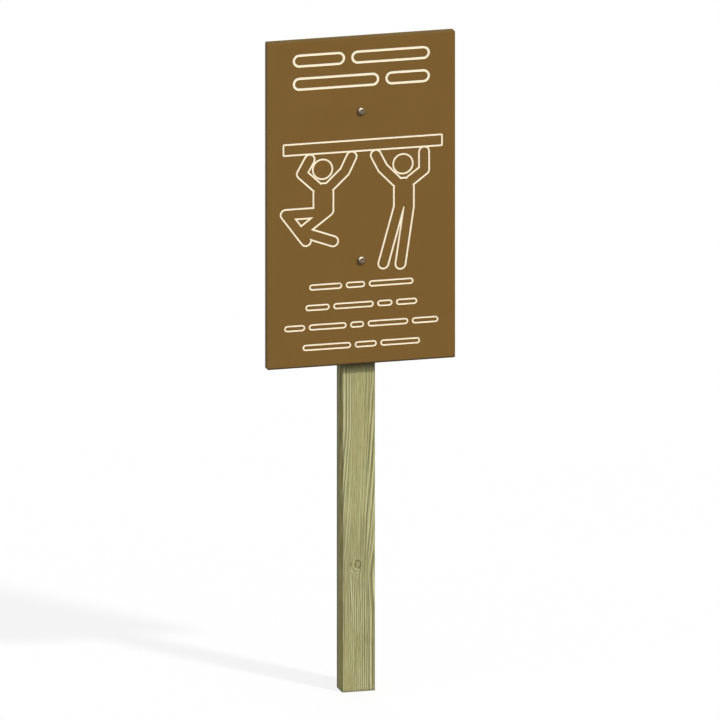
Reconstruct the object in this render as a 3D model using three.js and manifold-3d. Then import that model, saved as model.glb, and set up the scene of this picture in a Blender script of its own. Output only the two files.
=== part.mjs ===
// Park interpretation sign: a flat engraved board bolted to the front of a timber post.
// Millimetres. +Z is up, the board faces -Y, and +X is to the reader's right.
// The origin is the centre of the post's foot.

import * as THREE from 'three';
import { mergeVertices } from 'three/addons/utils/BufferGeometryUtils.js';
import Module from 'manifold-3d';

const manifold = await Module();
manifold.setup();

// The whole sign
const overallHeight = 1397;

// The board
const boardWidth = 400;
const boardHeight = 695;
const boardThickness = 20;
const boardCornerRadius = 3;
const boardEdgeEase = 2;

// The post
const postWidth = 70;
const postDepth = 47;
const postArrisRadius = 2.5;
const postTopBelowBoardTop = 46;
const postTopFall = 12;
const postTopEase = 3;

// Where the bolts stand on the board
const upperBoltBelowBoardTop = 157;
const boltSpacing = 317;

// The bolts
const boltDiameter = 10;
const boltHeadDiameter = 17.5;
const boltHeadHeight = 5.5;
const boltHeadRim = 0.9;
const boltHeadCrownFlat = 4.2;
const socketAcrossFlats = 6;
const socketDepth = 3;
const socketPointDepth = 1;
const boltTail = 7.5;
const boltTipChamfer = 1.2;

// The washers
const washerDiameter = 30;
const washerThickness = 2.5;

// The lock nuts
const nutAcrossFlats = 16;
const nutHexHeight = 7;
const nutBearingDiameter = 14.8;
const nutCollarDiameter = 14.4;
const nutCollarHeight = 3;
const nutCollarWall = 0.9;
const nutCollarEase = 0.7;
const nutChamferAngle = THREE.MathUtils.degToRad(30);
const nutThreadMouth = 0.8;
const ringThickness = 2.2;

// Clearances
const boreClearance = 0.5;
const threadClearance = 0.3;
const ringClearance = 0.3;

// How far a cutter runs past the face that it opens
const cutOverrun = 2;

// Facets round a turned piece, on a dome's side, and on a small rounded edge
const roundFacets = 48;
const domeFacets = 8;
const edgeFacets = 4;
const hexagonSides = 6;

// Places that follow from the sizes
const boardTop = overallHeight;
const boardBottom = boardTop - boardHeight;
const postHeight = boardTop - postTopBelowBoardTop;
const postFront = -postDepth / 2;
const postBack = postDepth / 2;
const boardBack = postFront;
const boardFront = boardBack - boardThickness;
const upperBoltHeight = boardTop - upperBoltBelowBoardTop;
const lowerBoltHeight = upperBoltHeight - boltSpacing;
const washerBack = postBack + washerThickness;
const nutHexBack = washerBack + nutHexHeight;
const nutCollarBack = nutHexBack + nutCollarHeight;
const boltTip = nutCollarBack + boltTail;
const boltRadius = boltDiameter / 2;
const boreRadius = boltRadius + boreClearance;
const threadedBoreRadius = boltRadius + threadClearance;
const fastenerHeights = { upper: upperBoltHeight, lower: lowerBoltHeight };

// Colours and surfaces
const finishes = {
  treatedPine: { color: '#a39f72', roughness: 0.85, metalness: 0 },
  brownBoard: { color: '#7a5d30', roughness: 0.6, metalness: 0 },
  zincSteel: { color: '#b6b3ab', roughness: 0.35, metalness: 1 },
  nylon: { color: '#dcd8cc', roughness: 0.5, metalness: 0 },
};

// Directions in which an outline is drawn and pushed out: its own x, its own y, and the way it is pushed
const alongX = new THREE.Vector3(1, 0, 0);
const alongY = new THREE.Vector3(0, 1, 0);
const alongZ = new THREE.Vector3(0, 0, 1);
const towardReader = alongY.clone().negate();

// A closed solid from a geometry, for cutting and joining
function solidFrom(geometry) {
  const bare = geometry.clone();
  bare.deleteAttribute('normal');
  bare.deleteAttribute('uv');
  const merged = mergeVertices(bare);
  const corners = Array.from(merged.index.array);
  const kept = [];
  for (let i = 0; i < corners.length; i += 3) {
    const [a, b, c] = corners.slice(i, i + 3);
    if (a !== b && b !== c && c !== a) {
      kept.push(a, b, c);
    }
  }
  const mesh = new manifold.Mesh({
    numProp: 3,
    vertProperties: new Float32Array(merged.attributes.position.array),
    triVerts: new Uint32Array(kept),
  });
  return new manifold.Manifold(mesh);
}

function geometryFrom(solid) {
  const mesh = solid.getMesh();
  const geometry = new THREE.BufferGeometry();
  geometry.setAttribute('position', new THREE.BufferAttribute(mesh.vertProperties, 3));
  geometry.setIndex(new THREE.BufferAttribute(mesh.triVerts, 1));
  geometry.computeVertexNormals();
  return geometry;
}

// A body turned about an axis along Y, from [radius, place along Y] points listed towards +Y.
// With six sides it is a hexagonal body whose corners lie on the radius.
function turned(profile, sides = roundFacets) {
  const points = profile.map(([radius, along]) => new THREE.Vector2(radius, along));
  return solidFrom(new THREE.LatheGeometry(points, sides));
}

// An outline drawn in two of the sign's directions and pushed out along the third, from `start`
function pushedOut(outline, drawnX, drawnY, pushedWay, start, options) {
  const geometry = new THREE.ExtrudeGeometry(outline, options);
  const turn = new THREE.Matrix4().makeBasis(drawnX, drawnY, pushedWay);
  turn.setPosition(pushedWay.clone().multiplyScalar(start));
  geometry.applyMatrix4(turn);
  return solidFrom(geometry);
}

function roundedRectangle(left, bottom, right, top, radius) {
  const shape = new THREE.Shape();
  shape.absarc(right - radius, bottom + radius, radius, -Math.PI / 2, 0);
  shape.absarc(right - radius, top - radius, radius, 0, Math.PI / 2);
  shape.absarc(left + radius, top - radius, radius, Math.PI / 2, Math.PI);
  shape.absarc(left + radius, bottom + radius, radius, Math.PI, Math.PI * 1.5);
  return shape;
}

function polygon(points) {
  return new THREE.Shape(points.map(([x, y]) => new THREE.Vector2(x, y)));
}

// A straight bore along Y between two places
function bore(radius, from, to) {
  return turned([[0, from], [radius, from], [radius, to], [0, to]]);
}

function withBoltBores(solid, from, to) {
  const cutter = bore(boreRadius, from - cutOverrun, to + cutOverrun);
  return Object.values(fastenerHeights).reduce(
    (body, height) => body.subtract(cutter.translate([0, 0, height])),
    solid,
  );
}

// The post is what its plan and its side view have in common. Its long edges are rounded.
// Its top falls to the back, behind the board, so that rain runs off, and is eased front and back.
function postSolid() {
  const plan = roundedRectangle(-postWidth / 2, postFront, postWidth / 2, postBack, postArrisRadius);
  const prism = pushedOut(plan, alongX, alongY, alongZ, 0, {
    depth: postHeight,
    bevelEnabled: false,
    curveSegments: edgeFacets,
  });
  const backTop = postHeight - postTopFall;
  const sideView = polygon([
    [postFront - cutOverrun, -cutOverrun],
    [postBack + cutOverrun, -cutOverrun],
    [postBack + cutOverrun, backTop - postTopEase - cutOverrun],
    [postBack - postTopEase, backTop],
    [postFront + postTopEase, postHeight],
    [postFront - cutOverrun, postHeight - postTopEase - cutOverrun],
  ]);
  const side = pushedOut(sideView, alongY, alongZ, alongX, -postWidth / 2 - cutOverrun, {
    depth: postWidth + cutOverrun * 2,
    bevelEnabled: false,
  });
  return withBoltBores(prism.intersect(side), postFront, postBack);
}

// The board is a plain rectangle with eased edges
function boardSolid() {
  const outline = roundedRectangle(
    -boardWidth / 2, boardBottom, boardWidth / 2, boardTop, boardCornerRadius,
  );
  const board = pushedOut(outline, alongX, alongZ, towardReader, -boardBack + boardEdgeEase, {
    depth: boardThickness - boardEdgeEase * 2,
    bevelEnabled: true,
    bevelThickness: boardEdgeEase,
    bevelSize: boardEdgeEase,
    bevelOffset: -boardEdgeEase,
    bevelSegments: edgeFacets,
    curveSegments: edgeFacets,
  });
  return withBoltBores(board, boardFront, boardBack);
}

// A button-headed bolt, seated on the board's face, with a hexagonal socket that ends in a point
function boltSolid() {
  const headTop = boardFront - boltHeadHeight;
  const headRadius = boltHeadDiameter / 2;
  const crownRadius = boltHeadCrownFlat;
  const domeHeight = boltHeadHeight - boltHeadRim;
  const profile = [[0, headTop]];
  for (let i = 0; i <= domeFacets; i += 1) {
    const angle = (Math.PI / 2) * (i / domeFacets);
    profile.push([
      crownRadius + (headRadius - crownRadius) * Math.sin(angle),
      headTop + domeHeight * (1 - Math.cos(angle)),
    ]);
  }
  profile.push(
    [headRadius, boardFront],
    [boltRadius, boardFront],
    [boltRadius, boltTip - boltTipChamfer],
    [boltRadius - boltTipChamfer, boltTip],
    [0, boltTip],
  );
  return turned(profile).subtract(socketSolid(headTop));
}

function socketSolid(headTop) {
  const cornerRadius = socketAcrossFlats / 2 / Math.cos(Math.PI / hexagonSides);
  const floor = headTop + socketDepth;
  return turned([
    [0, headTop - cutOverrun],
    [cornerRadius, headTop - cutOverrun],
    [cornerRadius, floor],
    [0, floor + socketPointDepth],
  ], hexagonSides);
}

function washerSolid() {
  return turned([
    [threadedBoreRadius, postBack],
    [washerDiameter / 2, postBack],
    [washerDiameter / 2, washerBack],
    [threadedBoreRadius, washerBack],
    [threadedBoreRadius, postBack],
  ]);
}

// A hexagon with chamfered corners, a thinner round collar behind it that holds the ring,
// and a countersunk mouth where the thread starts
function nutSolid() {
  const flatRadius = nutAcrossFlats / 2;
  const cornerRadius = flatRadius / Math.cos(Math.PI / hexagonSides);
  const bearingRadius = nutBearingDiameter / 2;
  const outside = cornerRadius + cutOverrun;
  const chamferDepth = (outside - bearingRadius) * Math.tan(nutChamferAngle);
  const hexagon = turned([
    [0, washerBack],
    [cornerRadius, washerBack],
    [cornerRadius, nutHexBack],
    [0, nutHexBack],
  ], hexagonSides);
  const chamfers = turned([
    [0, washerBack],
    [bearingRadius, washerBack],
    [outside, washerBack + chamferDepth],
    [outside, nutHexBack - chamferDepth],
    [bearingRadius, nutHexBack],
    [0, nutHexBack],
  ]);
  const collarRadius = nutCollarDiameter / 2;
  const collar = turned([
    [0, nutHexBack - nutHexHeight / 2],
    [collarRadius, nutHexBack - nutHexHeight / 2],
    [collarRadius, nutCollarBack - nutCollarEase],
    [collarRadius - nutCollarEase, nutCollarBack],
    [0, nutCollarBack],
  ]);
  const mouth = turned([
    [0, washerBack - cutOverrun],
    [threadedBoreRadius + nutThreadMouth + cutOverrun, washerBack - cutOverrun],
    [threadedBoreRadius, washerBack + nutThreadMouth],
    [0, washerBack + nutThreadMouth],
  ]);
  return hexagon
    .intersect(chamfers)
    .add(collar)
    .subtract(bore(threadedBoreRadius, washerBack - cutOverrun, nutCollarBack + cutOverrun))
    .subtract(bore(ringSeatRadius(), ringFront(), nutCollarBack + cutOverrun))
    .subtract(mouth);
}

function ringSeatRadius() {
  return nutCollarDiameter / 2 - nutCollarWall;
}

function ringFront() {
  return nutCollarBack - nutCollarEase - ringThickness;
}

// The nylon ring sits on the floor of the collar's seat, just under the collar's lip
function ringSolid() {
  const outside = ringSeatRadius() - ringClearance;
  const back = ringFront() + ringThickness;
  return turned([
    [threadedBoreRadius, ringFront()],
    [outside, ringFront()],
    [outside, back],
    [threadedBoreRadius, back],
    [threadedBoreRadius, ringFront()],
  ]);
}

function piece(name, geometry, finish) {
  const mesh = new THREE.Mesh(geometry, new THREE.MeshStandardMaterial(finish));
  mesh.name = name;
  return mesh;
}

const sign = new THREE.Group();
sign.add(piece('post', geometryFrom(postSolid()), finishes.treatedPine));
sign.add(piece('sign_panel', geometryFrom(boardSolid()), finishes.brownBoard));

// Each bolt passes the board and the post, and is held behind the post by a washer and a lock nut
const fastenerPieces = {
  bolt: [geometryFrom(boltSolid()), finishes.zincSteel],
  washer: [geometryFrom(washerSolid()), finishes.zincSteel],
  nut: [geometryFrom(nutSolid()), finishes.zincSteel],
  nut_ring: [geometryFrom(ringSolid()), finishes.nylon],
};
for (const [place, height] of Object.entries(fastenerHeights)) {
  for (const [part, [geometry, finish]] of Object.entries(fastenerPieces)) {
    const mesh = piece(`${place}_${part}`, geometry, finish);
    mesh.position.z = height;
    sign.add(mesh);
  }
}

export default sign;
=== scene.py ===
"""Park interpretation sign: an engraved brown board, bolted to a green-treated softwood post.

Everything is in metres, in the frame's own axes: +Z up, the board faces -Y, +X to the reader's right.
"""

import math

import bpy
from mathutils import Matrix, Vector, noise


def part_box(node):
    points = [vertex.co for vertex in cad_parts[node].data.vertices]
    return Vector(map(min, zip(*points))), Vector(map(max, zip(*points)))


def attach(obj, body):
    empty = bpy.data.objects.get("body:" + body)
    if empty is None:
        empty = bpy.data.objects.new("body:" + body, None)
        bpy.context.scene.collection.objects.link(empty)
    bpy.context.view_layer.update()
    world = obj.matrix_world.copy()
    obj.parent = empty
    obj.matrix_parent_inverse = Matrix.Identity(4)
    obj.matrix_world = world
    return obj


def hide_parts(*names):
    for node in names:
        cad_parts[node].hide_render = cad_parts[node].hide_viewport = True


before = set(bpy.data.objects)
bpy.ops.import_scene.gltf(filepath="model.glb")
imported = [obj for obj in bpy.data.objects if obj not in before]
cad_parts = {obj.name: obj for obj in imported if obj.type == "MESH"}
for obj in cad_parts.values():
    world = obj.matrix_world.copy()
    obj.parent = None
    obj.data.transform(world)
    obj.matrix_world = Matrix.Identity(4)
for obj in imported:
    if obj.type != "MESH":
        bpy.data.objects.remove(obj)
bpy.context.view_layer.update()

MM = 0.001

# Places and sizes that the frame gives
BOARD_LOW, BOARD_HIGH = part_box("sign_panel")
POST_LOW, POST_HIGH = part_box("post")
BOARD_FRONT = BOARD_LOW.y
BOARD_BACK = BOARD_HIGH.y
BOARD_HALF_WIDTH = BOARD_HIGH.x
FASTENER_PLACES = ("upper", "lower")

# The board
BOARD_CORNER_RADIUS = 3 * MM
BOARD_EDGE_EASE = 2 * MM
BOARD_SHADING_RIM = 0.3 * MM

# The post
POST_ARRIS_RADIUS = 1.8 * MM
POST_TOP_FALL = 12 * MM
POST_TOP_EASE = 3 * MM

# The bores, and the bolts' shanks in them
BOLT_RADIUS = 5 * MM
BORE_RADIUS = 5.5 * MM
THREADED_BORE_RADIUS = 5.3 * MM
BORE_SIDES = 64

# How far a cutter runs past the face that it opens
OVERRUN = 2 * MM

# How many flats make an eased edge or a round corner
EASE_STEPS = 6


def axis_height(node):
    """The height of a fastener's axis above the foot."""
    low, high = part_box(node)
    return (low.z + high.z) / 2


BOLT_HEIGHTS = {place: axis_height(f"{place}_bolt") for place in FASTENER_PLACES}


# Shader expressions


class Signal:
    """A value in a node tree. Sums and products of signals add the nodes that work them out."""

    def __init__(self, socket):
        self.socket = socket

    def __add__(self, other):
        return worked("ADD", self, other)

    def __radd__(self, other):
        return worked("ADD", other, self)

    def __sub__(self, other):
        return worked("SUBTRACT", self, other)

    def __rsub__(self, other):
        return worked("SUBTRACT", other, self)

    def __mul__(self, other):
        return worked("MULTIPLY", self, other)

    def __rmul__(self, other):
        return worked("MULTIPLY", other, self)

    def __truediv__(self, other):
        return worked("DIVIDE", self, other)

    def __rtruediv__(self, other):
        return worked("DIVIDE", other, self)

    def __abs__(self):
        return worked("ABSOLUTE", self)


def feed(socket, value):
    """Links a signal to a socket, or sets the socket's own value."""
    if isinstance(value, Signal):
        socket.id_data.links.new(value.socket, socket)
    elif socket.type == "RGBA":
        socket.default_value = (*value, 1)
    else:
        socket.default_value = value


def worked(operation, *values):
    """Works out an operation on signals and numbers. At least one of them is a signal."""
    tree = next(value.socket.id_data for value in values if isinstance(value, Signal))
    node = tree.nodes.new("ShaderNodeMath")
    node.operation = operation
    for socket, value in zip(node.inputs, values):
        feed(socket, value)
    return Signal(node.outputs[0])


def open_socket(sockets, key):
    """The socket with this name or number, or the first one in use where no key is given."""
    if isinstance(key, int):
        return sockets[key]
    return next(socket for socket in sockets if socket.enabled and key in (None, socket.name))


class Nodes:
    """Adds nodes to a material's or a world's tree."""

    def __init__(self, owner):
        owner.use_nodes = True
        self.tree = owner.node_tree
        self.tree.nodes.clear()

    def node(self, kind, settings=None, values=None, output=None):
        """Adds one node. Its settings are set first, then its sockets are fed."""
        made = self.tree.nodes.new(kind)
        for name, setting in (settings or {}).items():
            setattr(made, name, setting)
        for key, value in (values or {}).items():
            feed(open_socket(made.inputs, key), value)
        return Signal(open_socket(made.outputs, output)) if made.outputs else None

    def vector(self, operation, *values):
        return self.node("ShaderNodeVectorMath", {"operation": operation}, dict(enumerate(values)))

    def place_in_mm(self):
        """The point on the piece, in millimetres in the sign's own frame."""
        place = self.node("ShaderNodeTexCoord", output="Object")
        return self.vector("DIVIDE", place, (MM, MM, MM))

    def split(self, vector):
        parts = self.node("ShaderNodeSeparateXYZ", values={"Vector": vector}).socket.node
        return [Signal(socket) for socket in parts.outputs]

    def point(self, x, y, z):
        return self.node("ShaderNodeCombineXYZ", values={"X": x, "Y": y, "Z": z})

    def clouds(self, place, sizes, detail=2.0, roughness=0.5):
        """Cloudy noise from 0 to 1. `sizes` are the widths of its patches along X, Y and Z."""
        scaled = self.vector("DIVIDE", place, sizes)
        return self.node("ShaderNodeTexNoise", values={
            "Vector": scaled, "Scale": 1.0, "Detail": detail, "Roughness": roughness,
        })

    def between(self, value, start, end, way):
        return self.node("ShaderNodeMapRange", {"interpolation_type": way}, {
            "Value": value, "From Min": start, "From Max": end,
        })

    def rise(self, value, start, end):
        """Goes smoothly from 0 at `start` to 1 at `end`. `end` may be the lower one."""
        return self.between(value, start, end, "SMOOTHSTEP")

    def ramp(self, value, start, end):
        """Goes evenly from 0 at `start` to 1 at `end`. `end` may be the lower one."""
        return self.between(value, start, end, "LINEAR")

    def hump(self, value, middle, width):
        """1 at `middle`, falling smoothly to 0 on both sides over about `width`."""
        away = (value - middle) / width
        return worked("EXPONENT", away * away * -1)

    def blended(self, share, first, second):
        settings = {"data_type": "RGBA", "blend_type": "MIX", "clamp_factor": True}
        return self.node("ShaderNodeMix", settings, {"Factor": share, "A": first, "B": second})

    def washed(self, colour, washes):
        """Lays washes over a colour, one after another. Each is its share and its own colour."""
        for share, wash in washes:
            colour = self.blended(share, colour, wash)
        return colour

    def bumped(self, height_mm, strength=1.0):
        values = {"Strength": strength, "Distance": MM, "Height": height_mm}
        return self.node("ShaderNodeBump", values=values)

    def finish(self, **sockets):
        """Ends a material in one principled surface. Socket names are written with underscores."""
        values = {name.replace("_", " "): value for name, value in sockets.items()}
        surface = self.node("ShaderNodeBsdfPrincipled", values=values)
        self.node("ShaderNodeOutputMaterial", values={"Surface": surface})


def new_finish(name):
    material = bpy.data.materials.new(name)
    return material, Nodes(material)


# Finishes. Their places and sizes are in millimetres in the sign's frame.


def brown_board_finish():
    """Through-coloured brown sheet with a fine satin grain, faint clouds and a few scuffs. Its edges
    are duller. Painted sheen makes its sides paler; painted shade darkens its top face and lays a
    dark line along its lower edge."""
    material, n = new_finish("brown_board")
    place = n.place_in_mm()
    x, _, z = n.split(place)
    clouds = n.clouds(place, (70, 70, 110), 3)
    grain = n.clouds(place, (0.9, 0.9, 0.9), 3, 0.6)
    specks = n.clouds(place, (2.6, 2.6, 2.6), 1)
    scuffs = n.rise(n.clouds(place, (26, 5, 0.9), 2), 0.64, 0.78) * n.rise(clouds, 0.5, 0.65)

    foot, top = BOARD_LOW.z / MM, BOARD_HIGH.z / MM
    from_side = BOARD_HALF_WIDTH / MM - abs(x)
    from_end = (top - foot) / 2 - abs(z - (top + foot) / 2)
    from_outline = worked("MINIMUM", from_side, from_end)
    cut_edge = n.rise(from_outline, 1.6, 0.4)
    # Painted sheen: the side faces are painted paler and greyer
    painted_sheen_on_sides = n.rise(from_side, 1.8, 0.2)
    # Painted shade: the top face is painted darker and less blue
    painted_shade_on_top = n.rise(z, top - 2.2, top - 0.5)
    rubbed = n.rise(from_outline, 2.4, 0.4) * n.rise(specks, 0.35, 0.7)
    # Painted shade: a dark line painted along the lower edge, which faces down
    painted_shade_lower_edge = n.rise(z - foot, 4.6, 2.2) * (0.75 + specks * 0.4)

    brown = n.blended(clouds, (0.164, 0.087, 0.0162), (0.186, 0.101, 0.0236))
    brown = n.washed(brown, [
        (n.rise(grain, 0.3, 0.7) * 0.35, (0.143, 0.074, 0.012)),
        (scuffs * 0.25, (0.260, 0.160, 0.060)),
        (rubbed * 0.14, (0.250, 0.170, 0.080)),
        (painted_sheen_on_sides * 0.45, (0.255, 0.205, 0.090)),
        (painted_shade_on_top * 0.65, (0.095, 0.058, 0.008)),
        (painted_shade_lower_edge, (0.044, 0.031, 0.012)),
    ])
    n.finish(
        Base_Color=brown,
        Roughness=0.52 + grain * 0.14 + scuffs * 0.1 + cut_edge * 0.36,
        Specular_IOR_Level=0.12,
        Normal=n.bumped(grain * 0.05 + specks * 0.04 + scuffs * 0.03),
    )
    return material


def cream_paint_finish():
    """Cream enamel that fills the floor and walls of the engraved lines."""
    material, n = new_finish("cream_paint")
    place = n.place_in_mm()
    clouds = n.clouds(place, (9, 9, 9), 2)
    pores = n.clouds(place, (1.1, 1.1, 1.1), 2)
    cream = n.blended(clouds, (0.90, 0.80, 0.605), (0.85, 0.75, 0.555))
    cream = n.blended(n.rise(pores, 0.62, 0.8) * 0.3, cream, (0.72, 0.58, 0.38))
    n.finish(
        Base_Color=cream,
        Roughness=0.42 + pores * 0.2,
        Specular_IOR_Level=0.3,
        Normal=n.bumped(pores * 0.05 + clouds * 0.1),
    )
    return material


# The pith lies inside the post, so the growth rings make close upright lines on both sides of a
# plainer middle.
PITH_X = -1.0
PITH_Y = -7.5
RING_SPACING = 5.5
COMB_SPACING = 4.255

# The knot, and how far from its middle the lines part round it
KNOT_X = -2.8
KNOT_HEIGHT = 270.0
KNOT_HALF_WIDTH = 6.6
KNOT_HALF_HEIGHT = 8.8
KNOT_REACH_ALONG = 26.0
KNOT_REACH_ACROSS = 13.0

# Streaks that stand out on the front, listed one by one: place across the grain, half width,
# strength, and the heights between which each one shows
STREAK_FADE = 22
PALE_STREAKS = [
    (-30.8, 1.3, 0.80, 430, 700),
    (-23.6, 0.9, 0.75, 380, 700),
    (-17.8, 0.9, 0.75, 330, 700),
    (-8.6, 0.9, 0.75, 290, 420),
    (-3.5, 0.7, 0.60, 330, 420),
    (10.5, 0.9, 0.85, 180, 250),
    (18.8, 0.8, 0.60, 320, 460),
    (29.5, 1.0, 0.75, 570, 680),
    (37.5, 1.1, 0.80, 370, 600),
    (46.5, 1.1, 0.90, 330, 500),
    (53.0, 0.9, 0.75, 285, 410),
    (59.2, 0.8, 1.0, 0, 330),
    (69.5, 2.0, 0.80, 185, 255),
]
DARK_STREAKS = [
    (-26.8, 0.9, 0.70, 430, 700),
    (-20.4, 0.9, 0.65, 380, 700),
    (-15.2, 0.8, 0.50, 380, 690),
    (-11.8, 0.8, 0.60, 300, 380),
    (-6.0, 0.7, 0.60, 300, 380),
    (8.4, 0.9, 0.70, 180, 250),
    (16.0, 0.8, 0.55, 600, 690),
    (27.0, 0.8, 0.55, 600, 690),
    (33.0, 0.9, 0.85, 440, 680),
    (41.3, 1.1, 0.75, 370, 550),
    (50.3, 1.0, 0.75, 290, 420),
    (57.3, 0.8, 0.95, 0, 250),
    (64.6, 2.5, 0.65, 0, 300),
]


def grain_lean(n, x, z):
    """How far the lines on the two sides have leaned to the left on their way down to the knot."""
    on_left = n.ramp(z, 560, 330) * 18 + n.rise(z, 335, 240) * 9 - n.rise(z, 240, 175) * 2.5
    on_right = n.ramp(z, 660, 330) * 27 + n.rise(z, 335, 245) * 11 - n.rise(z, 240, 175) * 3.8
    return on_left + (on_right - on_left) * n.rise(x, -8, 18)


def placed_streaks(n, across, z, streaks):
    """How much of a streak is at a point, from 0 to 1."""
    total = 0.0
    for middle, half_width, strength, low, high in streaks:
        above = n.rise(z, low - STREAK_FADE, low + STREAK_FADE)
        below = n.rise(z, high + STREAK_FADE, high - STREAK_FADE)
        total = n.hump(across, middle, half_width) * above * below * strength + total
    return total


def growth_rings(n, across, y, z):
    """A growth ring is pale early wood, then plain, then a thin dark line where it ends. Gives
    the dark lines and the pale glints."""
    to_pith_x = across - PITH_X
    to_pith_y = y - PITH_Y
    age = worked("SQRT", to_pith_x * to_pith_x + to_pith_y * to_pith_y)
    uneven = n.clouds(n.point(age, 0.0, 0.0), (9, 1, 1), 1)
    turn = age / RING_SPACING + uneven * 1.2
    number = worked("FLOOR", turn)
    through = worked("FRACT", turn)
    late_wood = n.rise(through, 0.5, 0.84) * n.rise(through, 1.0, 0.95)
    early_wood = n.rise(through, 0.0, 0.06) * n.rise(through, 0.44, 0.14)
    dark = n.rise(n.clouds(n.point(number, 0.0, z), (0.37, 1, 90), 2), 0.30, 0.58)
    pale = n.rise(n.clouds(n.point(number + 40, 0.0, z), (0.37, 1, 70), 2), 0.36, 0.62)
    off_middle = n.rise(abs(to_pith_x), 6, 20)
    return late_wood * dark * off_middle, early_wood * pale * off_middle


def comb_lines(n, place, x, z, ripple):
    """Close upright lines, pale and dark, strongest below the knot."""
    comb = worked("SINE", (x + ripple * 0.7) * (2 * math.pi / COMB_SPACING))
    here = n.rise(n.clouds(place, (13, 40, 80), 2), 0.36, 0.6) * n.rise(x, -26, -17)
    here = here * (0.16 + n.rise(z, 262, 215) * 0.6)
    return n.rise(comb, 0.0, 0.8) * here, n.rise(comb, 0.0, -0.8) * here


def knot_marks(n, place, x, z, front):
    """A dark, uneven ring of bark, rings and cracks in it, and paler wood curling over it. Gives
    their washes and how deep they lie."""
    across = (x - KNOT_X) / KNOT_HALF_WIDTH
    along = (z - KNOT_HEIGHT) / KNOT_HALF_HEIGHT
    away = worked("SQRT", across * across + along * along)
    away = away + (n.clouds(place, (7, 9, 7), 2) - 0.5) * 0.5
    turn = worked("ARCTAN2", along, across)
    inside = n.rise(away, 1.05, 0.85) * front
    shaded = n.rise(across + along * 0.7, -0.9, 0.5)
    bark = n.hump(away, 0.97, 0.17) * (0.3 + shaded * 0.7) * front
    cracks = n.rise(n.clouds(n.point(turn, away, 0.0), (0.35, 3, 1), 1), 0.60, 0.68)
    cracks = cracks * n.rise(away, 0.1, 0.3) * inside
    rings = worked("SINE", away * 26) * 0.5 + 0.5
    curl = n.hump(away, 1.5, 0.22) * n.rise(across, -0.3, -0.9) * n.rise(along, -0.9, 0.0)
    washes = [
        (inside * 0.6, n.blended(rings, (0.235, 0.195, 0.082), (0.370, 0.330, 0.155))),
        (cracks * 0.8, (0.110, 0.090, 0.040)),
        (bark * 0.9, (0.120, 0.108, 0.040)),
        (curl * front * 0.6, (0.520, 0.500, 0.260)),
    ]
    return washes, bark * 0.4 + cracks * 0.3


def torn_grain(n, x, z):
    """Slanting torn fibres below the knot, pale and dark."""
    here = n.rise(n.hump(x, -9, 9) * n.hump(z, 255, 9), 0.1, 0.6)
    torn = n.clouds(n.point(x - z * 0.7, x + z, 0.0), (1.9, 7, 1), 2)
    return n.rise(torn, 0.47, 0.64) * here, n.rise(torn, 0.50, 0.34) * here


def tint_washes(n, place, x, z, front):
    """Broad patches of tan, green and brown, from the treatment and the weather."""
    tan = n.rise(n.clouds(place, (40, 40, 110), 2), 0.45, 0.62)
    tan = worked("MAXIMUM", tan, n.hump(x, -27, 8) * n.rise(z, 280, 250) * front)
    green = n.rise(n.clouds(place, (18, 30, 80), 2), 0.5, 0.7)
    browner = n.rise(z, 400, 330) * (0.5 + n.rise(z, 130, 200) * 0.5) * n.rise(x, 32, 24)
    greener_arris = n.hump(x, 32, 7) * n.rise(z, 165, 120)
    return [
        (tan * 0.45, (0.375, 0.322, 0.148)),
        (green * 0.3, (0.300, 0.315, 0.140)),
        (browner * front * 0.36, (0.270, 0.240, 0.112)),
        (greener_arris * front * 0.45, (0.235, 0.250, 0.118)),
    ]


def left_side_washes(n, place, x, y):
    """The left side is greyer at the back, and browner in patches beside the front."""
    left = n.rise(x, -33.5, -35)
    stained = n.rise(n.clouds(place, (10, 16, 70), 2), 0.42, 0.6)
    arris = n.rise(x, -32.4, -34.2) * n.rise(y, -16, -21)
    return [
        (left * n.rise(y, 2, 16) * 0.7, (0.215, 0.210, 0.135)),
        (left * n.rise(y, -6, -16) * stained * 0.55, (0.350, 0.285, 0.115)),
        (arris * (0.35 + stained * 0.4), (0.190, 0.160, 0.065)),
    ]


def darker_foot_and_painted_shade_washes(n, y, z, fibres):
    """Darker along the foot, and painted shade under the board."""
    board_foot = BOARD_LOW.z / MM
    # Painted shade: the post's front is painted darker just under the board, where the board shades
    # it
    painted_shade_under_board = n.rise(z, board_foot - 24, board_foot - 6) * n.rise(y, 14, -14)
    return [
        (n.hump(z, 0.5, 3.2) * 0.7, (0.130, 0.125, 0.075)),
        (painted_shade_under_board * (0.75 + fibres * 0.5) * 0.72, (0.070, 0.062, 0.038)),
    ]


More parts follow.
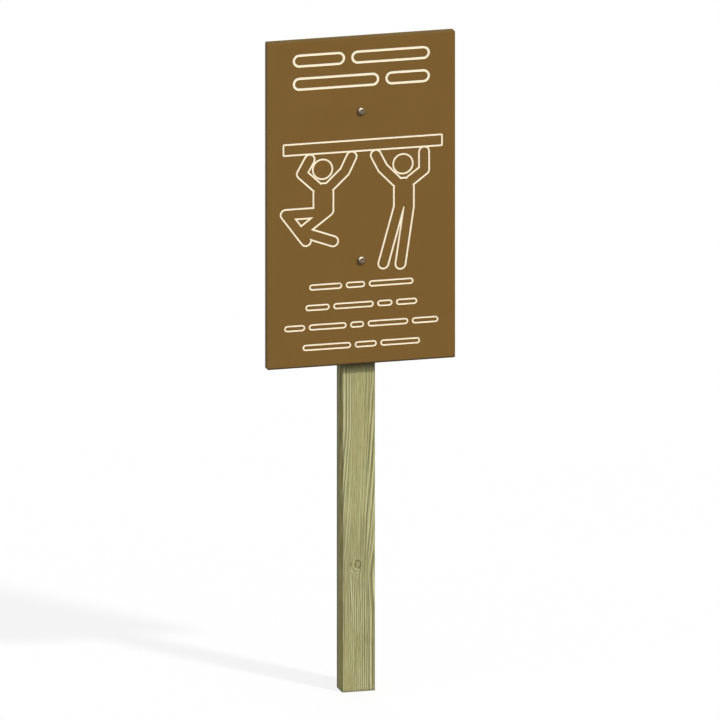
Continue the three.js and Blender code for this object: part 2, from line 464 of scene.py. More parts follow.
def treated_pine_finish():
    """Planed softwood with a green pressure treatment, upright grain and one knot."""
    material, n = new_finish("treated_pine")
    place = n.place_in_mm()
    x, y, z = n.split(place)
    front = n.rise(y, -10, -20)

    # The lines sway a little, lean towards the knot and part round it
    sway = n.clouds(place, (30, 60, 130), 1) - 0.5
    ripple = n.clouds(place, (7, 9, 34), 1) - 0.5
    from_knot = x - KNOT_X
    reach_across = from_knot / KNOT_REACH_ACROSS
    reach_along = (z - KNOT_HEIGHT) / KNOT_REACH_ALONG
    near_knot = worked("EXPONENT", (reach_across * reach_across + reach_along * reach_along) * -1)
    near_knot = near_knot * front
    swayed = x + sway * 2.0 + ripple * (1.2 + near_knot * 5) - near_knot * from_knot * 0.7
    lean = grain_lean(n, x, z)

    fibre_place = n.point(swayed + lean * 0.35, y, z)
    fibres = n.clouds(fibre_place, (1.9, 2.5, 26), 2, 0.6)
    hairs = n.clouds(fibre_place, (0.8, 1.0, 15), 2, 0.6)
    pores = n.clouds(fibre_place, (0.24, 0.34, 8), 2, 0.6)
    bands = n.clouds(fibre_place, (5, 8, 120), 2)
    tone = 0.5
    for layer, strength in ((fibres, 2.3), (hairs, 1.5), (pores, 1.7), (bands, 0.8)):
        tone = tone + (layer - 0.5) * strength

    lines, glints = growth_rings(n, swayed + lean * 0.5, y, z)
    comb_pale, comb_dark = (comb * front for comb in comb_lines(n, place, x, z, ripple))
    ragged = (0.7 + fibres * 0.6) * front
    pale, dark = (
        placed_streaks(n, swayed + lean, z, streaks) * ragged
        for streaks in (PALE_STREAKS, DARK_STREAKS)
    )
    knot_washes, knot_depth = knot_marks(n, place, x, z, front)
    torn_pale, torn_dark = (torn * front for torn in torn_grain(n, x, z))
    smudge = n.hump(x, -16, 4.5) * n.hump(z, 272, 5) * front
    grey = n.hump(x, 9, 9) * n.hump(z, 222, 10) * front

    wood = n.blended(tone, (0.444, 0.426, 0.201), (0.281, 0.266, 0.108))
    wood = n.washed(wood, tint_washes(n, place, x, z, front))
    wood = n.washed(wood, [
        (lines * 0.8, (0.165, 0.157, 0.064)),
        (glints * 0.7, (0.570, 0.555, 0.300)),
        (comb_pale, (0.600, 0.580, 0.325)),
        (comb_dark, (0.190, 0.180, 0.075)),
        (pale, (0.620, 0.605, 0.340)),
        (dark, (0.135, 0.130, 0.052)),
        (smudge * 0.7, (0.180, 0.150, 0.066)),
        *knot_washes,
        (torn_pale * 0.85, (0.600, 0.580, 0.320)),
        (torn_dark * 0.75, (0.170, 0.155, 0.065)),
        (grey * 0.4, (0.300, 0.275, 0.165)),
    ])
    wood = n.washed(wood, left_side_washes(n, place, x, y))
    # Darker along the foot, and painted shade under the board
    wood = n.washed(wood, darker_foot_and_painted_shade_washes(n, y, z, fibres))

    relief = lines * 0.16 - glints * 0.1 + (hairs - 0.5) * 0.22 + fibres * 0.2 + pores * 0.08
    relief = relief - knot_depth + (comb_dark - comb_pale) * 0.06 + (dark - pale) * 0.08
    relief = relief + (torn_pale - torn_dark) * 0.35
    n.finish(
        Base_Color=wood,
        Roughness=0.88 + hairs * 0.1 - lines * 0.06,
        Specular_IOR_Level=0.08,
        Normal=n.bumped(relief, 0.8),
    )
    return material


def zinc_steel_finish():
    """Dull zinc-plated steel with turning marks round each bolt's axis and a little grime. In front,
    a painted reflection makes the heads darker and browner and nearer the board's brown on their
    right, with painted shade at their lower left. Behind the post it is greyer."""
    material, n = new_finish("zinc_steel")
    place = n.place_in_mm()
    x, y, z = n.split(place)
    upper, lower = (BOLT_HEIGHTS[name] / MM for name in FASTENER_PLACES)
    halfway = (upper + lower) / 2
    above_axis = z - lower - n.rise(z, halfway - 1, halfway + 1) * (upper - lower)
    radius = worked("SQRT", x * x + above_axis * above_axis)
    turned_marks = n.clouds(n.point(radius, 0.0, 0.0), (0.13, 1, 1), 2, 0.7)
    clouds = n.clouds(place, (3.5, 3.5, 3.5), 3)
    grain = n.clouds(place, (0.25, 0.25, 0.25), 2)
    spots = n.rise(n.clouds(place, (1.4, 1.4, 1.4), 3), 0.6, 0.72)

    in_front = n.rise(y, 0, -5)
    behind = n.rise(y, -5, 5)
    # Painted shade: the heads' lower left is painted dark
    painted_shade_lower_left = n.rise(above_axis + x * 0.5 + clouds * 2, 1.5, -2.5) * in_front
    # Real grime in patches, together with that painted shade
    grime_and_painted_shade = worked("MAXIMUM", n.rise(clouds, 0.55, 0.75) * 0.7, painted_shade_lower_left)
    # Painted reflection: the heads' right half is painted towards the board's brown
    painted_board_reflection = n.rise(x + clouds, -0.5, 4.5) * in_front
    # Painted reflection: the steel in front is painted darker and browner than its own grey
    painted_reflection_brown = n.blended(clouds, (0.165, 0.130, 0.096), (0.215, 0.175, 0.135))
    greyish = n.blended(clouds, (0.300, 0.288, 0.262), (0.400, 0.386, 0.354))
    steel = n.washed(painted_reflection_brown, [
        (behind * 0.85, greyish),
        (painted_board_reflection * 0.75, (0.140, 0.100, 0.048)),
        (grime_and_painted_shade * 0.85, (0.075, 0.056, 0.024)),
        (spots * 0.35, (0.130, 0.100, 0.070)),
    ])
    n.finish(
        Base_Color=steel,
        Metallic=worked("MAXIMUM", 1.0 - grime_and_painted_shade * 0.35 - spots * 0.3 - painted_board_reflection * 0.3, 0.2),
        Roughness=0.34 + turned_marks * 0.08 + grain * 0.06 + grime_and_painted_shade * 0.15 + spots * 0.1,
        Normal=n.bumped(turned_marks * 0.006 + grain * 0.006 + clouds * 0.03 + spots * 0.012),
    )
    return material


def nylon_finish():
    """Off-white nylon, slightly cloudy."""
    material, n = new_finish("nylon")
    place = n.place_in_mm()
    clouds = n.clouds(place, (2, 2, 2), 2)
    fine = n.clouds(place, (0.3, 0.3, 0.3), 2)
    n.finish(
        Base_Color=n.blended(clouds, (0.74, 0.71, 0.63), (0.64, 0.60, 0.51)),
        Roughness=0.42 + fine * 0.15,
        Normal=n.bumped(fine * 0.02),
    )
    return material


# Shapes


def new_piece(name, points, faces):
    mesh = bpy.data.meshes.new(name)
    mesh.from_pydata(points, [], faces)
    mesh.validate()
    made = bpy.data.objects.new(name, mesh)
    bpy.context.scene.collection.objects.link(made)
    return made


def solid(name, rings, looped=False):
    """A closed mesh through rings of as many points each. The two end rings are capped, or,
    where it is looped, the last ring joins the first. Seen along the way the rings are stacked,
    their points go round clockwise."""
    around = len(rings[0])
    points = [point for ring in rings for point in ring]
    faces = []
    for i in range(len(rings) if looped else len(rings) - 1):
        here, there = i * around, (i + 1) % len(rings) * around
        for j in range(around):
            k = (j + 1) % around
            faces.append((here + j, here + k, there + k, there + j))
    if not looped:
        last = (len(rings) - 1) * around
        faces.append(tuple(reversed(range(around))))
        faces.append(tuple(range(last, last + around)))
    return new_piece(name, points, faces)


def applied(piece):
    """Turns a piece's modifiers into its mesh."""
    ready = piece.evaluated_get(bpy.context.evaluated_depsgraph_get())
    mesh = bpy.data.meshes.new_from_object(ready)
    piece.modifiers.clear()
    piece.data = mesh
    return piece


def worked_with(piece, tool, operation):
    """Cuts, joins or trims a piece with a tool, which is used up."""
    change = piece.modifiers.new("work", "BOOLEAN")
    change.operation = operation
    change.solver = "MANIFOLD"
    change.object = tool
    applied(piece)
    bpy.data.objects.remove(tool)
    return piece


def cut(piece, tool):
    return worked_with(piece, tool, "DIFFERENCE")


def joined(piece, tool):
    return worked_with(piece, tool, "UNION")


def trimmed(piece, tool):
    return worked_with(piece, tool, "INTERSECT")


def smoothed(piece, sharp_above=32):
    """Shades a piece smooth, except at edges sharper than this many degrees."""
    piece.data.shade_smooth()
    piece.data.set_sharp_from_angle(angle=math.radians(sharp_above))
    return piece


def coated(piece, *finishes):
    piece.data.materials.clear()
    for finish in finishes:
        piece.data.materials.append(finish)
    return piece


def set_in_place(piece, node):
    """Sets a piece in the place of its node."""
    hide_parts(node)
    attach(piece, "root")
    return piece


def circle(radius, along, sides, height):
    """A ring round an axis along Y. Its first point is at the top."""
    turns = [2 * math.pi * i / sides for i in range(sides)]
    return [(radius * math.sin(turn), along, height + radius * math.cos(turn)) for turn in turns]


def turned(name, profile, sides, height, looped=False):
    """A body turned about an axis along Y, from (radius, place along Y) pairs listed towards +Y."""
    return solid(name, [circle(radius, along, sides, height) for radius, along in profile], looped)


def bore_tool(radius, start, end, height):
    return turned("bore", [(radius, start - OVERRUN), (radius, end + OVERRUN)], BORE_SIDES, height)


def quarter_turns(steps):
    """The turns from 0 to a right angle, in even steps."""
    return [math.pi / 2 * step / steps for step in range(steps + 1)]


def rounded(corners, steps=EASE_STEPS):
    """Rounds a profile. Each corner is (radius, along, rounding)."""
    profile = []
    for i, (radius, along, rounding) in enumerate(corners):
        here = Vector((radius, along))
        before = Vector(corners[i - 1][:2]) - here
        after = Vector(corners[(i + 1) % len(corners)][:2]) - here
        start = here + before.normalized() * rounding
        end = here + after.normalized() * rounding
        for step in range(steps + 1):
            share = step / steps
            bent = start * (1 - share) ** 2 + here * 2 * share * (1 - share) + end * share ** 2
            profile.append(tuple(bent))
    return profile


def rounded_rectangle(low, high, radius):
    """The outline's points, from the top right corner clockwise as seen from the front."""
    (left, bottom), (right, top) = low, high
    middles = [
        (right - radius, top - radius),
        (right - radius, bottom + radius),
        (left + radius, bottom + radius),
        (left + radius, top - radius),
    ]
    outline = []
    for quarter, (x, z) in enumerate(middles):
        for step in range(EASE_STEPS + 1):
            turn = math.pi / 2 * (quarter + step / EASE_STEPS)
            outline.append((x + radius * math.sin(turn), z + radius * math.cos(turn)))
    return outline


# The board


def board_blank():
    """The sheet before it is engraved, with its edges eased front and back."""

    def ring(inset, along):
        low = (BOARD_LOW.x + inset, BOARD_LOW.z + inset)
        high = (BOARD_HIGH.x - inset, BOARD_HIGH.z - inset)
        return [(x, along, z) for x, z in rounded_rectangle(low, high, BOARD_CORNER_RADIUS - inset)]

    eased = [
        (BOARD_EDGE_EASE * (1 - math.sin(turn)), BOARD_EDGE_EASE * (1 - math.cos(turn)))
        for turn in quarter_turns(EASE_STEPS)
    ]
    rim = BOARD_EDGE_EASE + BOARD_SHADING_RIM
    rings = [ring(rim, BOARD_FRONT)]
    rings += [ring(inset, BOARD_FRONT + depth) for inset, depth in eased]
    rings += [ring(inset, BOARD_BACK - depth) for inset, depth in reversed(eased)]
    rings += [ring(rim, BOARD_BACK)]
    return solid("board", rings)


# The engraved lines. Their bars and figures are in millimetres, across from the board's middle
# and up from its lower edge.
LINE_DEPTH = 0.6 * MM
LINE_DRAFT = 0.15 * MM
FIGURE_LINE = 3.6 * MM
LARGE_BAR_LINE = 5 * MM
SMALL_BAR_LINE = 3.3 * MM
CURVE_STEPS = 14


def stadium(start, end, radius):
    """The outline of a bar with round ends, clockwise as seen from the front."""
    start, end = Vector(start), Vector(end)
    heading = math.atan2(end.x - start.x, end.y - start.y) if start != end else 0.0
    outline = []
    for middle, first in ((end, heading - math.pi / 2), (start, heading + math.pi / 2)):
        for step in range(CURVE_STEPS + 1):
            turn = first + math.pi * step / CURVE_STEPS
            outline.append((middle.x + radius * math.sin(turn), middle.y + radius * math.cos(turn)))
    return outline


def engraving_tool(outline_at, offset, draft):
    """A tool as deep as a line. `outline_at(offset)` gives the outline that far outside the
    middle of the line, and the tool's walls lean in by `draft` over the line's depth."""
    lean = draft / LINE_DEPTH
    rings = []
    for depth in (-OVERRUN, LINE_DEPTH):
        outline = outline_at(offset - depth * lean)
        rings.append([(x, BOARD_FRONT + depth, BOARD_LOW.z + z) for x, z in outline])
    return solid("tool", rings)


def merged(tools):
    whole = tools[0]
    for tool in tools[1:]:
        joined(whole, tool)
    return whole


def line_round(outlines, width):
    """The tool that cuts one line of this width round the joined outlines."""
    outside = merged([engraving_tool(outline, width / 2, LINE_DRAFT) for outline in outlines])
    inside = merged([engraving_tool(outline, -width / 2, -LINE_DRAFT) for outline in outlines])
    return cut(outside, inside)


def bar(start, end, radius):
    """A bar with round ends, as a function that gives its outline at an offset."""
    start = [value * MM for value in start]
    end = [value * MM for value in end]
    return lambda offset: stadium(start, end, radius + offset)


def square_bar(low, high, radius):
    """A bar with square ends, as a function that gives its outline at an offset."""
    low = Vector(low) * MM
    high = Vector(high) * MM

    def outline(offset):
        grow = Vector((offset, offset))
        return rounded_rectangle(low - grow, high + grow, radius + offset)

    return outline


# The beam that the figures hang from, and for each figure the middle of its trunk and the joints
# of its limbs: across from that middle, and height
BEAM_LOW = (-165.6, 453.8)
BEAM_HIGH = (171.6, 476.9)
BEAM_CORNER_RADIUS = 1.9 * MM
FIGURES = {
    "tucked": (-80.6, [
        [(-14, 383), (-45.8, 413), (-29.5, 442)],
        [(14, 383), (45, 412), (59.8, 442.6)],
        [(-10.4, 345), (-10.4, 328.2), (-80.2, 328.2), (-37.2, 269.7)],
        [(10.4, 345), (10.4, 331), (-45.4, 290), (20.6, 265.3)],
    ]),
    "straight": (90.5, [
        [(-15, 383), (-45, 414), (-59.6, 442.6)],
        [(14, 383), (43, 404.3), (43, 442.6)],
        [(-10.4, 345), (-10.4, 329.3), (-43.6, 210.6)],
        [(10.4, 345), (10.4, 328), (-7.2, 207.6)],
    ]),
}
LIMB_RADIUS = 10.8 * MM
TRUNK_RADIUS = 21.3 * MM
TRUNK_TOP = 369
TRUNK_FOOT = 348
HEAD_RADIUS = 20.9 * MM
HEAD_ACROSS = -1.9
HEAD_HEIGHT = 420


def figure(middle, limbs):
    """A plain figure that hangs by both hands: a trunk and its limbs, each a chain of bars."""
    outlines = [bar((middle, TRUNK_FOOT), (middle, TRUNK_TOP), TRUNK_RADIUS)]
    for limb in limbs:
        joints = [(middle + across, height) for across, height in limb]
        outlines += [bar(start, end, LIMB_RADIUS) for start, end in zip(joints, joints[1:])]
    return outlines


# Rows of outlined bars above and below the figures: the height of a row's middle, its width,
# and the shares of that width that its bars take
LARGE_BAR = 28
LARGE_BAR_GAP = 13
LARGE_BAR_ROWS = [
    (653.6, 292, (0.40, 0.60)),
    (604.3, 292, (0.66, 0.34)),
]
SMALL_BAR = 13.4
SMALL_BAR_GAP = 7.5
SMALL_BAR_ROWS = [
    (170.0, 222, (0.34, 0.20, 0.46)),
    (126.8, 238, (0.24, 0.40, 0.15, 0.21)),
    (85.1, 328, (0.15, 0.27, 0.10, 0.29, 0.19)),
    (42.4, 250, (0.44, 0.20, 0.36)),
]


def bar_row(height, width, shares, bar_height, gap, line):
    """The tools for a row of outlined bars."""
    free = width - gap * (len(shares) - 1)
    radius = (bar_height * MM - line) / 2
    end_room = bar_height / 2
    left = -width / 2
    tools = []
    for share in shares:
        right = left + free * share
        outline = bar((left + end_room, height), (right - end_room, height), radius)
        tools.append(line_round([outline], line))
        left = right + gap
    return tools


def engraving_tools():
    """One tool for every line that is cut into the board."""
    beam = square_bar(BEAM_LOW, BEAM_HIGH, BEAM_CORNER_RADIUS)
    tools = [line_round([beam], FIGURE_LINE)]
    for middle, limbs in FIGURES.values():
        head_middle = (middle + HEAD_ACROSS, HEAD_HEIGHT)
        head = bar(head_middle, head_middle, HEAD_RADIUS)
        tools += [line_round(figure(middle, limbs), FIGURE_LINE), line_round([head], FIGURE_LINE)]
    for height, width, shares in LARGE_BAR_ROWS:
        tools += bar_row(height, width, shares, LARGE_BAR, LARGE_BAR_GAP, LARGE_BAR_LINE)
    for height, width, shares in SMALL_BAR_ROWS:
        tools += bar_row(height, width, shares, SMALL_BAR, SMALL_BAR_GAP, SMALL_BAR_LINE)
    return tools


# The paint lies in the lines alone: clear of the eased edges and of the bores, and deeper than a
# hair under the board's front.
HAIR = 0.01 * MM
PAINT_FROM_EDGE = BOARD_EDGE_EASE * 2
PAINT_FROM_BOLT = BORE_RADIUS * 1.1


def is_painted(middle):
    """True for a face with its middle on the floor or a wall of an engraved line."""
    depth = middle.y - BOARD_FRONT
    from_edge = min(
        BOARD_HALF_WIDTH - abs(middle.x),
        BOARD_HIGH.z - middle.z,
        middle.z - BOARD_LOW.z,
    )
    from_bolt = min(math.hypot(middle.x, middle.z - height) for height in BOLT_HEIGHTS.values())
    in_line = HAIR < depth < LINE_DEPTH + HAIR
    return in_line and from_edge > PAINT_FROM_EDGE and from_bolt > PAINT_FROM_BOLT


def make_board(brown, cream):
    board = board_blank()
    for height in BOLT_HEIGHTS.values():
        cut(board, bore_tool(BORE_RADIUS, BOARD_FRONT, BOARD_BACK, height))
    cut(board, merged(engraving_tools()))
    coated(board, brown, cream)
    for face in board.data.polygons:
        face.material_index = int(is_painted(face.center))
    return set_in_place(smoothed(board, sharp_above=25), "sign_panel")


# The post
POST_STEP_ALONG = 5 * MM
KNOT_STEP_ALONG = 1.5 * MM
POST_STEP_ACROSS = 1.8 * MM
ARRIS_STEPS = 5

# How the timber is worn, in millimetres: its arrises, its soft hollows and the groove round the
# knot, with the sizes of the patches in which the first two come and go. The groove's width is a
# share of the knot's half width and half height.
ARRIS_WEAR = 0.25
ARRIS_UNEVEN = 0.6
ARRIS_PATCH = (1, 1, 34)
HOLLOW_DEPTH = 0.16
HOLLOW_PATCH = (9, 9, 120)
KNOT_GROOVE_DEPTH = 0.45
KNOT_GROOVE_SHARE = 0.16


def post_outline():
    """Points round the post's plan with their outward directions, clockwise seen from the foot."""
    half_width, half_depth = POST_HIGH.x, POST_HIGH.y
    radius = POST_ARRIS_RADIUS
    corners = [
        (half_width - radius, half_depth - radius),
        (-half_width + radius, half_depth - radius),
        (-half_width + radius, -half_depth + radius),
        (half_width - radius, -half_depth + radius),
    ]
    outline = []
    for quarter, (x, y) in enumerate(corners):
        for step in range(ARRIS_STEPS + 1):
            turn = math.pi / 2 * (quarter + step / ARRIS_STEPS)
            way = Vector((math.cos(turn), math.sin(turn), 0))
            outline.append((Vector((x, y, 0)) + way * radius, way))
        start = outline[-1][0]
        end = Vector((*corners[(quarter + 1) % 4], 0)) + way * radius
        steps = round((end - start).length / POST_STEP_ACROSS)
        for step in range(1, steps):
            outline.append((start.lerp(end, step / steps), way))
    return outline


def patchy(at, sizes):
    """Smooth noise about 0, in patches of these sizes."""
    return noise.noise(Vector([place / size for place, size in zip(at, sizes)]))


def post_wear(point, way):
    """How far the surface lies under the sharp form: worn arrises, soft hollows, the knot."""
    at = point / MM
    arris = abs(way.x * way.y) * 2
    wear = arris * (ARRIS_WEAR + ARRIS_UNEVEN * max(0.0, patchy(at, ARRIS_PATCH)))
    wear += HOLLOW_DEPTH * (1 + patchy(at, HOLLOW_PATCH))
    faces_reader = way.y < -0.9
    if faces_reader:
        across = (at.x - KNOT_X) / KNOT_HALF_WIDTH
        along = (at.z - KNOT_HEIGHT) / KNOT_HALF_HEIGHT
        from_bark = (math.hypot(across, along) - 1.0) / KNOT_GROOVE_SHARE
        wear += KNOT_GROOVE_DEPTH * math.exp(-from_bark ** 2)
    return wear * MM


def post_heights():
    """The heights of the rings that carry the post's surface, closer together at the knot."""
    heights = [0.0]
    knot = KNOT_HEIGHT * MM
    reach = KNOT_HALF_HEIGHT * 2 * MM
    top = POST_HIGH.z + OVERRUN
    while heights[-1] < top:
        fine = abs(heights[-1] - knot) < reach
        heights.append(min(top, heights[-1] + (KNOT_STEP_ALONG if fine else POST_STEP_ALONG)))
    return heights


def sideways_prism(name, outline, left, right):
    """An outline of (along Y, height) points, pushed out along X."""
    return solid(name, [[(x, y, z) for y, z in outline] for x in (left, right)])


def make_post(wood):
    outline = post_outline()
    rings = []
    for height in post_heights():
        ring = []
        for flat, way in outline:
            point = Vector((flat.x, flat.y, height))
            ring.append(point - way * post_wear(point, way))
        rings.append(ring)
    rings[0] = [Vector((point.x, point.y, 0)) for point in rings[0]]
    post = solid("post_timber", rings)
    back_top = POST_HIGH.z - POST_TOP_FALL
    side_view = [
        (POST_LOW.y - OVERRUN, -OVERRUN),
        (POST_HIGH.y + OVERRUN, -OVERRUN),
        (POST_HIGH.y + OVERRUN, back_top - POST_TOP_EASE - OVERRUN),
        (POST_HIGH.y - POST_TOP_EASE, back_top),
        (POST_LOW.y + POST_TOP_EASE, POST_HIGH.z),
        (POST_LOW.y - OVERRUN, POST_HIGH.z - POST_TOP_EASE - OVERRUN),
    ]
    trimmed(post, sideways_prism("trim", side_view, POST_LOW.x - OVERRUN, POST_HIGH.x + OVERRUN))
    for height in BOLT_HEIGHTS.values():
        cut(post, bore_tool(BORE_RADIUS, POST_LOW.y, POST_HIGH.y, height))
    return set_in_place(smoothed(coated(post, wood), sharp_above=40), "post")


# The bolts
ROUND_SIDES = 72
HEX_SIDES = 6
HEX_CORNER = 1 / math.cos(math.pi / HEX_SIDES)
BOLT_HEAD_RIM = 0.9 * MM
BOLT_HEAD_FOOT_EASE = 0.2 * MM
BOLT_CROWN_FLAT = 4.2 * MM
DOME_STEPS = 14
SOCKET_ACROSS_FLATS = 6 * MM
SOCKET_DEPTH = 3 * MM
SOCKET_POINT = 1 * MM
SOCKET_POINT_RADIUS = 0.2 * MM
SOCKET_MOUTH = 0.7 * MM
THREAD_PITCH = 1.5 * MM
THREAD_DEPTH = 0.85 * MM
THREAD_RINGS_A_TURN = 10
TIP_CHAMFER = 1.2 * MM

# The share of the thread's depth by which its flanks would run past the crest and the root,
# where they are cut off flat
THREAD_CUT_OFF = 0.15


def bolt_thread(start, end, sides, height):
    """Rings of a helical thread between two places along Y. It runs in at the start and ends in
    the tip's chamfer."""
    steps = round((end - start) / THREAD_PITCH * THREAD_RINGS_A_TURN)
    rings = []
    for step in range(steps + 1):
        along = start + (end - start) * step / steps
        run_in = min(1.0, (along - start) / THREAD_PITCH)
        tip = max(0.0, TIP_CHAMFER - (end - along))
        ring = []
        for i in range(sides):
            turn = i / sides
            phase = ((along - start) / THREAD_PITCH + turn) % 1.0
            flank = abs(phase * 2 - 1) * (1 + THREAD_CUT_OFF * 2) - THREAD_CUT_OFF
            depth = THREAD_DEPTH * min(1.0, max(0.0, flank)) * run_in
            radius = BOLT_RADIUS - max(depth, tip)
            angle = 2 * math.pi * turn
            ring.append((radius * math.sin(angle), along, height + radius * math.cos(angle)))
        rings.append(ring)
    return rings


def make_bolt(place, steel):
    node = f"{place}_bolt"
    low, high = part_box(node)
    height = BOLT_HEIGHTS[place]
    head_radius = (high.x - low.x) / 2
    dome = BOARD_FRONT - BOLT_HEAD_RIM - low.y
    profile = [
        (
            BOLT_CROWN_FLAT + (head_radius - BOLT_CROWN_FLAT) * math.sin(turn),
            low.y + dome * (1 - math.cos(turn)),
        )
        for turn in quarter_turns(DOME_STEPS)
    ]
    profile += [
        (head_radius, BOARD_FRONT - BOLT_HEAD_FOOT_EASE),
        (head_radius - BOLT_HEAD_FOOT_EASE, BOARD_FRONT),
        (BOLT_RADIUS, BOARD_FRONT),
    ]
    rings = [circle(radius, along, ROUND_SIDES, height) for radius, along in profile]
    thread_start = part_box(f"{place}_washer")[0].y
    rings += bolt_thread(thread_start, high.y, ROUND_SIDES, height)
    bolt = solid(f"{place}_button_bolt", rings)
    corner = SOCKET_ACROSS_FLATS / 2 * HEX_CORNER
    floor = low.y + SOCKET_DEPTH
    cut(bolt, turned("socket", [
        (corner, low.y - OVERRUN),
        (corner, floor),
        (SOCKET_POINT_RADIUS, floor + SOCKET_POINT),
    ], HEX_SIDES, height))
    cut(bolt, turned("mouth", [
        (SOCKET_ACROSS_FLATS / 2 + SOCKET_MOUTH + OVERRUN, low.y - OVERRUN),
        (SOCKET_ACROSS_FLATS / 2, low.y + SOCKET_MOUTH),
    ], ROUND_SIDES, height))
    return set_in_place(smoothed(coated(bolt, steel)), node)


# The washers, which are punched, so their back is rounder
WASHER_FRONT_BORE_EASE = 0.15 * MM
WASHER_FRONT_EDGE_EASE = 0.25 * MM
WASHER_BACK_EDGE_EASE = 0.8 * MM
WASHER_BACK_BORE_EASE = 0.4 * MM


def make_washer(place, steel):
    node = f"{place}_washer"
    low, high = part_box(node)
    outside = (high.x - low.x) / 2
    profile = rounded([
        (THREADED_BORE_RADIUS, low.y, WASHER_FRONT_BORE_EASE),
        (outside, low.y, WASHER_FRONT_EDGE_EASE),
        (outside, high.y, WASHER_BACK_EDGE_EASE),
        (THREADED_BORE_RADIUS, high.y, WASHER_BACK_BORE_EASE),
    ])
    washer = turned(f"{place}_plain_washer", profile, ROUND_SIDES, BOLT_HEIGHTS[place], looped=True)
    return set_in_place(smoothed(coated(washer, steel)), node)


# The lock nuts
NUT_HEX_HEIGHT = 7 * MM
NUT_BEARING_RADIUS = 7.4 * MM
NUT_COLLAR_RADIUS = 7.2 * MM
NUT_COLLAR_WALL = 0.9 * MM
NUT_COLLAR_EASE = 0.7 * MM
NUT_CHAMFER_SLOPE = math.tan(math.radians(30))
NUT_MOUTH = 0.8 * MM


def make_nut(place, steel):
    node = f"{place}_nut"
    low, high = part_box(node)
    height = BOLT_HEIGHTS[place]
    corner = (high.z - low.z) / 2
    hex_back = low.y + NUT_HEX_HEIGHT
    outside = corner + OVERRUN
    chamfer = (outside - NUT_BEARING_RADIUS) * NUT_CHAMFER_SLOPE
    ring_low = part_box(f"{place}_nut_ring")[0].y
    nut = turned(f"{place}_lock_nut", [(corner, low.y), (corner, hex_back)], HEX_SIDES, height)
    trimmed(nut, turned("chamfers", [
        (NUT_BEARING_RADIUS, low.y),
        (outside, low.y + chamfer),
        (outside, hex_back - chamfer),
        (NUT_BEARING_RADIUS, hex_back),
    ], ROUND_SIDES, height))
    collar = [(NUT_COLLAR_RADIUS, hex_back - NUT_HEX_HEIGHT / 2)]
    collar += [
        (
            NUT_COLLAR_RADIUS - NUT_COLLAR_EASE * (1 - math.cos(turn)),
            high.y - NUT_COLLAR_EASE * (1 - math.sin(turn)),
        )
        for turn in quarter_turns(EASE_STEPS)
    ]
    joined(nut, turned("collar", collar, ROUND_SIDES, height))
    cut(nut, bore_tool(THREADED_BORE_RADIUS, low.y, high.y, height))
    seat = NUT_COLLAR_RADIUS - NUT_COLLAR_WALL
    cut(nut, turned("seat", [(seat, ring_low), (seat, high.y + OVERRUN)], ROUND_SIDES, height))
    cut(nut, turned("mouth", [
        (THREADED_BORE_RADIUS + NUT_MOUTH + OVERRUN, low.y - OVERRUN),
        (THREADED_BORE_RADIUS, low.y + NUT_MOUTH),
    ], ROUND_SIDES, height))
    return set_in_place(smoothed(coated(nut, steel)), node)


# The nylon rings in the nuts' collars
NYLON_FRONT_EASE = 0.1 * MM
NYLON_BACK_EDGE_EASE = 0.2 * MM
NYLON_BACK_BORE_EASE = 0.25 * MM
NYLON_EASE_STEPS = 3


def make_nut_ring(place, nylon):
    node = f"{place}_nut_ring"
    low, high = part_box(node)
    outside = (high.x - low.x) / 2
    profile = rounded([
        (THREADED_BORE_RADIUS, low.y, NYLON_FRONT_EASE),
        (outside, low.y, NYLON_FRONT_EASE),
        (outside, high.y, NYLON_BACK_EDGE_EASE),
        (THREADED_BORE_RADIUS, high.y, NYLON_BACK_BORE_EASE),
    ], NYLON_EASE_STEPS)
    ring = turned(f"{place}_nylon_ring", profile, ROUND_SIDES, BOLT_HEIGHTS[place], looped=True)
    return set_in_place(smoothed(coated(ring, nylon)), node)


# Floor, light and camera
SKY_STRENGTH = 1.14
SKY_FALL = 0.7
SKY_LEAN = 0.46
SUN_STRENGTH = 2.57
SUN_WIDTH = math.radians(5)
TOWARDS_SUN = Vector((0.7, -1.0, 1.24))
FILL_STRENGTH = 1.7
FILL_WIDTH = math.radians(60)
TOWARDS_FILL = Vector((0.35, 1.0, 0.2))
GLINT_STRENGTH = 7.0
GLINT_WIDTH = math.radians(50)
TOWARDS_GLINT = Vector((-0.24, -0.70, 0.67))
FLOOR_HALF = 30.0
FLOOR_PATCH = 900
FLOOR_GLOW_SHARE = 0.8

VIEW_AZIMUTH = math.radians(-15)
VIEW_ELEVATION = math.radians(15)
VIEW_WIDTH = 1479.5 * MM
VIEW_CENTRE_RIGHT = 8.45 * MM
VIEW_CENTRE_UP = 675.3 * MM

# How far the camera and the lamps stand from the sign
STAND_OFF = 6.0


def seen_plainly(n):
    """1 for what the camera sees straight, mirrored or through glass, and 0 for scattered light."""
    path = n.node("ShaderNodeLightPath", output="Is Camera Ray").socket.node
    camera, glossy, through = (
        Signal(path.outputs[f"Is {kind} Ray"]) for kind in ("Camera", "Glossy", "Transmission")
    )
    return worked("MAXIMUM", worked("MAXIMUM", camera, glossy), through)


def make_sky():
    """White to the eye. Its soft light is strongest from the horizon and from the reader's side."""
    world = bpy.data.worlds.new("studio_sky")
    bpy.context.scene.world = world
    n = Nodes(world)
    plain = seen_plainly(n)
    _, y, z = n.split(n.node("ShaderNodeTexCoord", output="Generated"))
    soft = (1 - worked("MAXIMUM", z, 0.0) * SKY_FALL) * (1 - y * SKY_LEAN) * SKY_STRENGTH
    strength = plain + (1 - plain) * soft
    sky = n.node("ShaderNodeBackground", values={"Color": (1, 1, 1), "Strength": strength})
    n.node("ShaderNodeOutputWorld", values={"Surface": sky})


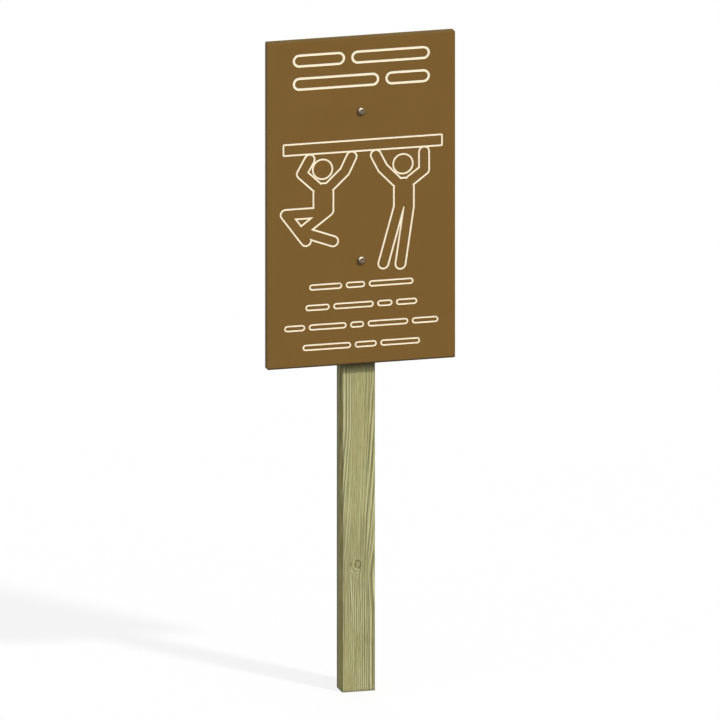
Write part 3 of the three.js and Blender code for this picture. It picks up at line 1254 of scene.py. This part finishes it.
def make_floor():
    """Pale paint that glows a little, so it looks white and keeps the sign's shadow. To scattered
    light it is dim, so it throws little light up at the sign."""
    material, n = new_finish("studio_floor")
    plain = seen_plainly(n)
    clouds = n.clouds(n.place_in_mm(), (FLOOR_PATCH, FLOOR_PATCH, FLOOR_PATCH), 2)
    grey = n.blended(clouds, (0.74, 0.74, 0.74), (0.77, 0.77, 0.77))
    paint = n.node("ShaderNodeBsdfDiffuse", values={"Color": grey})
    glow = n.node("ShaderNodeEmission", values={"Color": (1, 1, 1), "Strength": 1.0})
    pale = n.node("ShaderNodeMixShader", values={0: FLOOR_GLOW_SHARE, 1: paint, 2: glow})
    dim = n.node("ShaderNodeBsdfDiffuse", values={"Color": (0.06, 0.06, 0.06)})
    surface = n.node("ShaderNodeMixShader", values={0: plain, 1: dim, 2: pale})
    n.node("ShaderNodeOutputMaterial", values={"Surface": surface})
    h = FLOOR_HALF
    floor = new_piece("floor", [(-h, -h, 0), (h, -h, 0), (h, h, 0), (-h, h, 0)], [(0, 1, 2, 3)])
    floor.data.materials.append(material)


def make_lamp(name, towards, strength, width):
    lamp = bpy.data.lights.new(name, "SUN")
    lamp.energy = strength
    lamp.angle = width
    holder = bpy.data.objects.new(name, lamp)
    holder.rotation_mode = "QUATERNION"
    holder.rotation_quaternion = (-towards).to_track_quat("-Z", "Y")
    holder.location = towards.normalized() * STAND_OFF
    bpy.context.scene.collection.objects.link(holder)
    return holder


def make_camera():
    """A parallel view from the left and above, as in the photograph."""
    turn, rise = VIEW_AZIMUTH, VIEW_ELEVATION
    right = Vector((math.cos(turn), math.sin(turn), 0))
    back = Vector((math.sin(turn) * math.cos(rise), -math.cos(turn) * math.cos(rise), math.sin(rise)))
    up = back.cross(right)
    lens = bpy.data.cameras.new("camera")
    lens.type = "ORTHO"
    lens.ortho_scale = VIEW_WIDTH
    lens.clip_end = FLOOR_HALF * 2
    camera = bpy.data.objects.new("camera", lens)
    bpy.context.scene.collection.objects.link(camera)
    camera.matrix_world = Matrix((right, up, back)).transposed().to_4x4()
    camera.location = right * VIEW_CENTRE_RIGHT + up * VIEW_CENTRE_UP + back * STAND_OFF
    bpy.context.scene.camera = camera


def build():
    make_camera()
    make_sky()
    make_floor()
    make_lamp("sun", TOWARDS_SUN, SUN_STRENGTH, SUN_WIDTH)
    make_lamp("fill", TOWARDS_FILL, FILL_STRENGTH, FILL_WIDTH)
    glint = make_lamp("glint", TOWARDS_GLINT, GLINT_STRENGTH, GLINT_WIDTH)
    glint.visible_diffuse = False
    bpy.context.scene.view_settings.view_transform = "Standard"
    make_board(brown_board_finish(), cream_paint_finish())
    make_post(treated_pine_finish())
    steel = zinc_steel_finish()
    nylon = nylon_finish()
    for place in FASTENER_PLACES:
        make_bolt(place, steel)
        make_washer(place, steel)
        make_nut(place, steel)
        make_nut_ring(place, nylon)


build()
